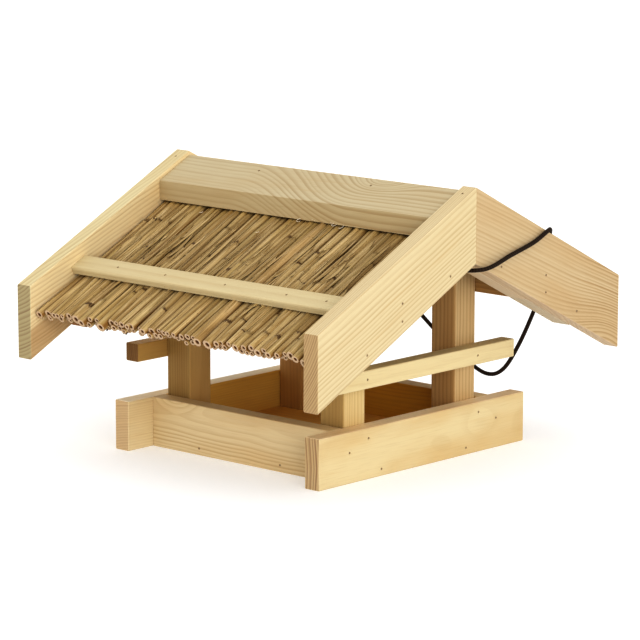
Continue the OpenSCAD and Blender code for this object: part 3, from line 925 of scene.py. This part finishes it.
def knot_lines():
    """The straight run through the knot, and the winding round it with its tails."""
    start, end = ROUTE[0], ROUTE[-1]
    axis = (end - start).normalized()
    side = axis.cross(OUT_BACK).normalized()
    up = side.cross(axis)
    reach = (end - start).length
    core = [start + axis * (reach * i / CORE_STEPS) for i in range(CORE_STEPS + 1)]
    turns = []
    first, last = KNOT_SPAN[0] * reach, KNOT_SPAN[1] * reach
    for i in range(KNOT_STEPS + 1):
        share = i / KNOT_STEPS
        angle = 2 * math.pi * (KNOT_TURNS * share + KNOT_START)
        turns.append(start + axis * (first + (last - first) * share)
                     + (side * math.cos(angle) + up * math.sin(angle)) * KNOT_WIND)

    def tail(place, way, lean):
        """Points from the winding's end outwards, which soon lie flat on the slope."""
        way = way.normalized()
        level = (way - up * way.dot(up) + axis * lean).normalized()
        return [place, place + way * 0.004, place + way * 0.005 + level * 0.005, place + level * KNOT_TAIL]

    head = smooth_path(tail(turns[0], turns[0] - turns[1], -0.9)[::-1], TAIL_STEPS)
    foot = smooth_path(tail(turns[-1], turns[-1] - turns[-2], 0.6), TAIL_STEPS)
    return core, head[:-1] + turns + foot[1:]


core_line, winding_line = knot_lines()
knot = braided("cord_knot_turns", [core_line, winding_line])
declare(cord, "cord", "hanging_cord")
declare(knot, "cord", "cord_knot")
round(path_length(CORD_PATH), 3)
print("knot winding:", round(path_length(winding_line), 4))

# %% [markdown]
# ## Reeds
#
# Each slope carries two layers of cut reed, about a hundred stalks, clamped between the boards. No
# two are equally thick, none is quite straight, and each steps down in thickness at its knuckles,
# where the leaf sheath ends in a dark ring. The cut lower ends show pale rims round dark holes.
#
# Six stalks are modelled with a radius of 1 and their true length. A tree lays them side by side:
# an Accumulate Field adds up the thicknesses, so that thick and thin ones touch whatever the chance
# numbers are. Marks on the points tell the material where the knuckles, rims and holes are.

# %% Six stalks
STALK_SIDES = 9
STALK_LENGTH = 0.216
STALK_OVAL = 0.05
STALK_TWIST = 9
STALK_KINDS = [
    ([0.034, 0.148], (0.35, 0.1)), ([0.078], (-0.3, 0.15)), ([0.117], (0.25, -0.2)),
    ([0.052, 0.132], (-0.35, -0.1)), ([0.165], (0.2, 0.3)), ([0.021, 0.104], (0.35, -0.15))]
PLAIN, KNUCKLE, LIP, RIM, HOLE = (0, 0, 0), (1, 0, 0), (0.9, 0, 0), (0, 1, 0), (0, 0, 1)
MARK_LAYERS = {"spot": "float_vector", "mark": "float_vector", "joint": "float"}


def stalk_stations(knuckles):
    """Places along a stalk from its upper end: distance, radius, marks (knuckle, rim, hole), and joint.

    Each joint is a sleeve that starts with a lip and tapers to the next knuckle.
    """
    end = STALK_LENGTH / 2
    breaks = [end - k for k in sorted(knuckles, reverse=True)]
    stations = [(-end, 1.0, PLAIN, 0)]
    for joint, place in enumerate(breaks):
        before = stations[-1][0]
        stations += [((before + place) / 2, 0.96, PLAIN, joint), (place - 0.0050, 0.88, PLAIN, joint),
                     (place - 0.0003, 0.86, KNUCKLE, joint), (place, 1.03, LIP, joint + 1),
                     (place + 0.0042, 1.0, PLAIN, joint + 1)]
    last = len(breaks)
    before = stations[-1][0]
    return stations + [((before + end) / 2, 0.97, PLAIN, last), (end - 0.0005, 0.88, PLAIN, last),
                       (end, 0.82, RIM, last), (end - 0.0003, 0.42, RIM, last),
                       (end - 0.0015, 0.39, HOLE, last), (end - 0.005, 0.36, HOLE, last)]


def lofted(name, rings):
    """A closed mesh through rings of points, each point given with its marks for the material."""
    work = bmesh.new()
    layers = {label: getattr(work.verts.layers, MARK_LAYERS[label]).new(label) for label in rings[0][0][1]}
    rows = []
    for ring in rings:
        row = []
        for point, marks in ring:
            vertex = work.verts.new(point)
            for label, value in marks.items():
                vertex[layers[label]] = value
            row.append(vertex)
        rows.append(row)
    for upper, lower in zip(rows, rows[1:]):
        for i in range(len(upper)):
            j = (i + 1) % len(upper)
            work.faces.new((upper[j], upper[i], lower[i], lower[j]))
    work.faces.new(rows[0])
    work.faces.new(list(reversed(rows[-1])))
    bmesh.ops.recalc_face_normals(work, faces=work.faces)
    return mesh_from(work, name)


def stalk(name, knuckles, bend):
    """One reed along Y with a radius of 1, a little oval, hollow at its lower end."""
    rings = []
    for y, radius, marks, joint in stalk_stations(knuckles):
        lean = math.cos(math.pi * y / STALK_LENGTH)
        ring = []
        for i in range(STALK_SIDES):
            angle = 2 * math.pi * i / STALK_SIDES
            oval = radius * (1 + STALK_OVAL * math.sin(2 * angle + STALK_TWIST * y / STALK_LENGTH))
            x, z = oval * math.cos(angle), oval * math.sin(angle)
            ring.append(((x + bend[0] * lean, y, z + bend[1] * lean),
                         {"spot": (x, y, z), "mark": marks, "joint": joint}))
        rings.append(ring)
    return lofted(name, rings)


def kit_of(name, shape, kinds):
    """A collection that holds one object for each kind of a shape, for a tree to pick from."""
    kit = bpy.data.collections.new(name)
    for number, kind in enumerate(kinds):
        label = f"{name}_{number}"
        kit.objects.link(bpy.data.objects.new(label, shape(label, *kind)))
    return kit


stalk_kit = kit_of("stalk", stalk, STALK_KINDS)

# %% Reed colours
BED_TOP = 0.0217
BED_BOTTOM = 0.0364
PEAK_Z = 0.278
TONES = 0.95
STRAW_STOPS = [
    (0.0, seen(164, 138, 82)), (0.16, seen(182, 154, 96)), (0.3, seen(148, 124, 72)),
    (0.44, seen(174, 146, 84)), (0.56, seen(140, 116, 66)), (0.68, seen(192, 166, 108)),
    (0.8, seen(160, 132, 74)), (0.88, seen(152, 130, 80)), (TONES, seen(180, 146, 88))]
# Depths below the bed's top where the painted shade between the stalks starts and ends
GROOVE_START = (BED_TOP + 0.0026, BED_TOP + 0.0068)
GROOVE_END = (0.0300, 0.0325)
# Painted light along the slope: where the tints under the ridge board, on the open slope and at the eave
# blend
RIDGE_TO_OPEN_SLOPE = (0.048, 0.070)
OPEN_SLOPE_TO_EAVE = (0.186, 0.200)
UNDER_RIDGE = (1.16, 1.02, 0.70, 1.0)
OPEN_SLOPE_TINT = (0.91, 0.88, 0.86, 1.0)
AT_EAVE = (0.93, 0.90, 0.87, 1.0)


def reed_material():
    """Dry reed: each stalk its own tone, each joint its own, streaked, dark at knuckles, with painted shade
    in the grooves and painted light under the ridge board.
    """
    material, web = new_material("reed")
    tone, joint = web.mark("tone"), web.mark("joint")
    knuckle, rim, hole = web.parts(web.mark("mark", "Vector"))
    own_shift = web.vector(tone * 61, tone * 7, tone * 23)
    own = web.node("ShaderNodeVectorMath", {0: web.mark("spot", "Vector"), 1: own_shift}, operation="ADD")
    patch = web.noise(web.scaled(own, (1.0, 17, 1.0)))
    streak = web.noise(web.scaled(own, (4.5, 16, 4.5)), detail=3.0, roughness=0.6)
    speck = web.noise(web.scaled(own, (3.2, 420, 3.2)))
    around = web.noise(web.scaled(own, (1.5, 170, 1.5)))
    step = web.dice(joint * 3.7 + tone * 91)
    _, place_y, place_z = web.parts(web.place())
    fall = PEAK_Z - place_z
    off_ridge = place_y.sum("ABSOLUTE")

    colour = web.ramp(tone, STRAW_STOPS)
    for wire, low, high, share, shade in (
            (step, 0.2, 0.9, 0.4, (204, 174, 114)),
            (patch, 0.42, 0.62, 0.55, (122, 90, 40)),
            (streak, 0.50, 0.66, 0.55, (98, 62, 12)),
            (streak, 0.48, 0.30, 0.5, (226, 202, 156)),
            (speck, 0.66, 0.72, 0.55, (76, 46, 14))):
        colour = web.mix(web.ease(wire, low, high) * share, colour, seen(*shade))

    # Painted shade: the deeper between the stalks, the darker and warmer the colour
    depth = fall * math.cos(PITCH) - off_ridge * math.sin(PITCH)
    groove_shade = web.ease(depth, *GROOVE_START) * web.ease(depth, *GROOVE_END, 1.0, 0.0)
    colour = web.mix(groove_shade * 0.85, colour, seen(112, 66, 8))

    # The knuckles' dark blotches, and the cut ends
    blotch = web.ease(knuckle * 0.9 + (around - 0.5) * 2.2, 0.44, 0.62)
    blotch = blotch * web.ease(step, 0.38, 0.76, 0.12, 1.0)
    colour = web.mix(blotch * 0.9, colour, seen(66, 40, 14))
    colour = web.mix(rim, colour, web.mix(streak, seen(216, 188, 154), seen(160, 128, 92)))
    colour = web.mix(hole, colour, seen(104, 62, 28))

    # Painted light: in the ridge board's shade the stalks are tinted brighter and warmer, on the open slope
    # a little darker, and from the lath to the eave a little less dark
    down = fall * math.sin(PITCH) + off_ridge * math.cos(PITCH)
    painted_light = web.mix(web.ease(down, *RIDGE_TO_OPEN_SLOPE), UNDER_RIDGE, OPEN_SLOPE_TINT)
    painted_light = web.mix(web.ease(down, *OPEN_SLOPE_TO_EAVE), painted_light, AT_EAVE)
    colour = web.mix(1.0, colour, painted_light, "MULTIPLY")

    web.surface(colour, 0.42 + streak * 0.3, 0.4, height=streak)
    return material


reed_skin = reed_material()

# %% Laying the reeds
REED_ROOM = 0.3612
TOP_REED_END = 0.2530
UNDER_REED_END = 0.2496
REED_SEED = 40


def chance(web, low, high, seed, kind="FLOAT"):
    """A chance number for each point, between two limits."""
    sockets = {"Min": low, "Max": high, "ID": web.node("GeometryNodeInputIndex"), "Seed": seed}
    return web.node("FunctionNodeRandomValue", sockets, data_type=kind)


def spread(web, reach, seed):
    """A chance number for each point, as far below zero as above it."""
    return chance(web, reach * -1, reach, seed)


def laid_out(web, given, place, turns, size, kinds, seed):
    """Ends a tree that lays out Count pieces of a kit, each at its place, and each of a kind by chance."""
    line = web.node("GeometryNodeMeshLine", {"Count": given["Count"], "Offset": (0, 0, 0)}, mode="OFFSET")
    line = web.node("GeometryNodeSetPosition", {"Geometry": line, "Position": web.vector(*place)})
    kit = web.node("GeometryNodeCollectionInfo", {
        "Collection": given["Stalks"], "Separate Children": True, "Reset Children": True})
    placed = web.node("GeometryNodeInstanceOnPoints", {
        "Points": line, "Instance": kit, "Pick Instance": True, "Scale": web.vector(*size),
        "Rotation": web.node("FunctionNodeEulerToRotation", {0: web.vector(*turns)}),
        "Instance Index": chance(web, 0, len(kinds) - 1, seed, "INT")})
    placed = named(web, placed, "tone", chance(web, 0.0, TONES, seed + 1), domain="INSTANCE")
    return end_tree(web, placed, given["Material"])


def reed_tree():
    """Stalks side by side across a slope, each as near its neighbour as their thicknesses let it."""
    web, given = new_tree("reeds", ["Stalks", "Count", "Width", "Thin", "Thick", "Middle", "Uneven", "Face",
                                    "Side", "Sink", "Turn", "Seed", "Material"])
    seed = given["Seed"]
    size = chance(web, given["Thin"], given["Thick"], seed)
    sums = web.node("GeometryNodeAccumulateField", {"Value": size}, data_type="FLOAT")
    fit = given["Width"] / sums["Total"]
    x = (sums["Leading"] - size / 2) * fit - given["Width"] / 2
    radius = size * fit * chance(web, 0.50, 0.56, seed + 7)
    y = given["Middle"] + spread(web, given["Uneven"], seed + 1)
    sunk = chance(web, 0.0, 1.0, seed + 2)
    z = given["Face"] - given["Side"] * (radius + sunk * sunk * given["Sink"])
    room = 1 - (x * x * 4) / (given["Width"] * given["Width"])
    turn = spread(web, given["Turn"], seed + 3) * room
    spin = chance(web, 0.0, 2 * math.pi, seed + 4)
    return laid_out(web, given, (x, y, z), (0.0, spin, turn), (radius, 1.0, radius), STALK_KINDS, seed + 5)


def on_slope(name, tree, values, side, *nodes, mesh=None):
    """A tree's result laid on the front (-1) or back (1) slope. In it, X is across, Y down and Z out."""
    piece = grown(name, tree, values, mesh)
    turn = Matrix((Vector((side, 0, 0)), *slope(side))).transposed()
    piece.data.transform(Matrix.Translation((0, 0, PEAK_Z)) @ turn.to_4x4())
    declare(piece, "reed", *nodes)


reeds = reed_tree()
LAYERS = {
    "top_reeds": {
        "Count": 44, "Thin": 0.0054, "Thick": 0.0104, "Middle": TOP_REED_END - STALK_LENGTH / 2,
        "Face": -BED_TOP, "Side": 1.0, "Sink": 0.0028, "Turn": math.radians(1.9)},
    "under_reeds": {
        "Count": 54, "Thin": 0.0048, "Thick": 0.0078, "Middle": UNDER_REED_END - STALK_LENGTH / 2,
        "Face": -BED_BOTTOM, "Side": -1.0, "Sink": 0.0008, "Turn": math.radians(0.5)},
}
for number, (layer, values) in enumerate(LAYERS.items()):
    for end, side in ENDS:
        shared = {"Stalks": stalk_kit, "Width": REED_ROOM, "Uneven": 0.0035,
                  "Seed": REED_SEED + 10 * number + side * 3, "Material": reed_skin}
        on_slope(f"{layer}_{end}_stalks", reeds, {**shared, **values}, side, f"{layer}_{end}")

# %% [markdown]
# ### Sheaths, splinters and fluff
#
# Torn leaf sheaths and splinters lie over the stalks: thin arched strips of five shapes, scattered by
# a second tree with chance places and small turns. White fluff and a few blackened ends are listed
# one by one, where the photograph shows them.

# %% Strips
STRIP_KINDS = [
    (0.090, 0.0042, 0.0006, 0.0010), (0.055, 0.0014, 0.0012, 0.0006), (0.115, 0.0012, 0.0004, 0.0016),
    (0.048, 0.0060, 0.0012, 0.0000), (0.030, 0.0020, 0.0030, 0.0010)]
STRIP_ROWS = 7
STRIP_THICKNESS = 0.00022
STRIP_TIP = 0.12
STRIP_ARCH = 0.45
STRIP_SECTION = ((-1, 1, 0), (-1, 1, 1), (0, 0, 1), (1, 1, 1), (1, 1, 0), (0, 0, 0))
SPOT_UNIT = 0.004
LITTER_SEED = 90


def strip(name, length, width, lift, bow):
    """A torn strip along Y, arched across, pointed at both ends, with one end lifted."""
    rings = []
    for i in range(STRIP_ROWS):
        share = i / (STRIP_ROWS - 1)
        half = 0.5 * width * (STRIP_TIP + (1 - STRIP_TIP) * math.sin(math.pi * share) ** 0.6)
        y = (share - 0.5) * length
        height = lift * max(0.0, 2 * share - 1) ** 2
        shift = bow * math.sin(math.pi * share)
        ring = []
        for x, drop, side in STRIP_SECTION:
            point = (x * half + shift, y, height - drop * half * STRIP_ARCH - side * STRIP_THICKNESS)
            ring.append((point, {"spot": (point[0] / SPOT_UNIT, y, point[2] / SPOT_UNIT)}))
        rings.append(ring)
    return lofted(name, rings)


def litter_tree():
    """Strips scattered over a slope, each at a chance place with small turns."""
    web, given = new_tree("litter", ["Stalks", "Count", "Width", "Near", "Far", "Face", "Turn", "Seed",
                                     "Material"])
    seed = given["Seed"]
    x = spread(web, given["Width"] * 0.49, seed)
    y = chance(web, given["Near"], given["Far"], seed + 1)
    z = given["Face"] + chance(web, -0.0016, 0.0006, seed + 2)
    roll = spread(web, 0.35, seed + 3)
    yaw = spread(web, given["Turn"], seed + 4)
    pitch = spread(web, 0.012, seed + 5)
    size = (chance(web, 0.7, 1.3, seed + 6), chance(web, 0.6, 1.2, seed + 7), 1.0)
    return laid_out(web, given, (x, y, z), (pitch, roll, yaw), size, STRIP_KINDS, seed + 8)


strip_kit = kit_of("strip", strip, STRIP_KINDS)
litter = litter_tree()
for end, side in ENDS:
    on_slope(f"reed_sheaths_{end}", litter, {
        "Stalks": strip_kit, "Count": 130, "Width": REED_ROOM - 0.012, "Near": 0.092, "Far": 0.190,
        "Face": -BED_TOP, "Turn": math.radians(4.0), "Seed": LITTER_SEED + side * 3,
        "Material": reed_skin}, side)

# %% Fluff and blackened ends
CURLS = [(-112, 70), (-20, 88), (13, 61), (29, 59), (52, 57), (58, 60), (68, 62), (76, 54)]
CHARRED = [(-92, 250), (-63, 250)]
CURL_STEPS = 9


def curl_line(draw, across, down):
    """A curled shaving that lies on the reeds, in the slope's frame."""
    size = draw.uniform(0.0014, 0.0030)
    start = draw.uniform(0, 2 * math.pi)
    sweep = draw.uniform(2.0, 4.6)
    middle = Vector((-across / 1000, down / 1000, -BED_TOP + 0.0012))
    line = []
    for i in range(CURL_STEPS):
        angle = start + sweep * i / (CURL_STEPS - 1)
        rise = 0.0004 * i / CURL_STEPS
        line.append(middle + Vector((size * math.cos(angle), size * math.sin(angle), rise)))
    return line


def char_line(draw, across, down):
    """A burnt splinter that sticks out of the eave, in the slope's frame."""
    aside = draw.uniform(-3, 3)
    depth = draw.uniform(0.011, 0.017)
    start = Vector(((aside - across) / 1000, down / 1000 - 0.006, -BED_TOP - depth))
    way = Vector((draw.uniform(-0.4, 0.4), 1, draw.uniform(-0.5, 0.0))).normalized()
    return [start, start + way * 0.004, start + way * draw.uniform(0.006, 0.009)]


draw = random.Random(4)
fluff_lines = [curl_line(draw, *place) for place in CURLS]
char_lines = [char_line(draw, *place) for place in CHARRED for _ in range(5)]
fluff = mottled("fluff", seen(214, 192, 160), seen(250, 242, 226), 900, 0.6)
burnt = mottled("burnt", seen(30, 22, 16), seen(74, 56, 38), 700, 0.6)
for name, lines, thick, skin in (
        ("reed_fluff", fluff_lines, 0.0005, fluff), ("burnt_splinters", char_lines, 0.0013, burnt)):
    values = {"Diameter": thick, "Step": 0.0006, "Sides": 5, "Relief": 0.0, "Material": skin}
    on_slope(name, braid, values, -1, mesh=lines_mesh(name, lines))
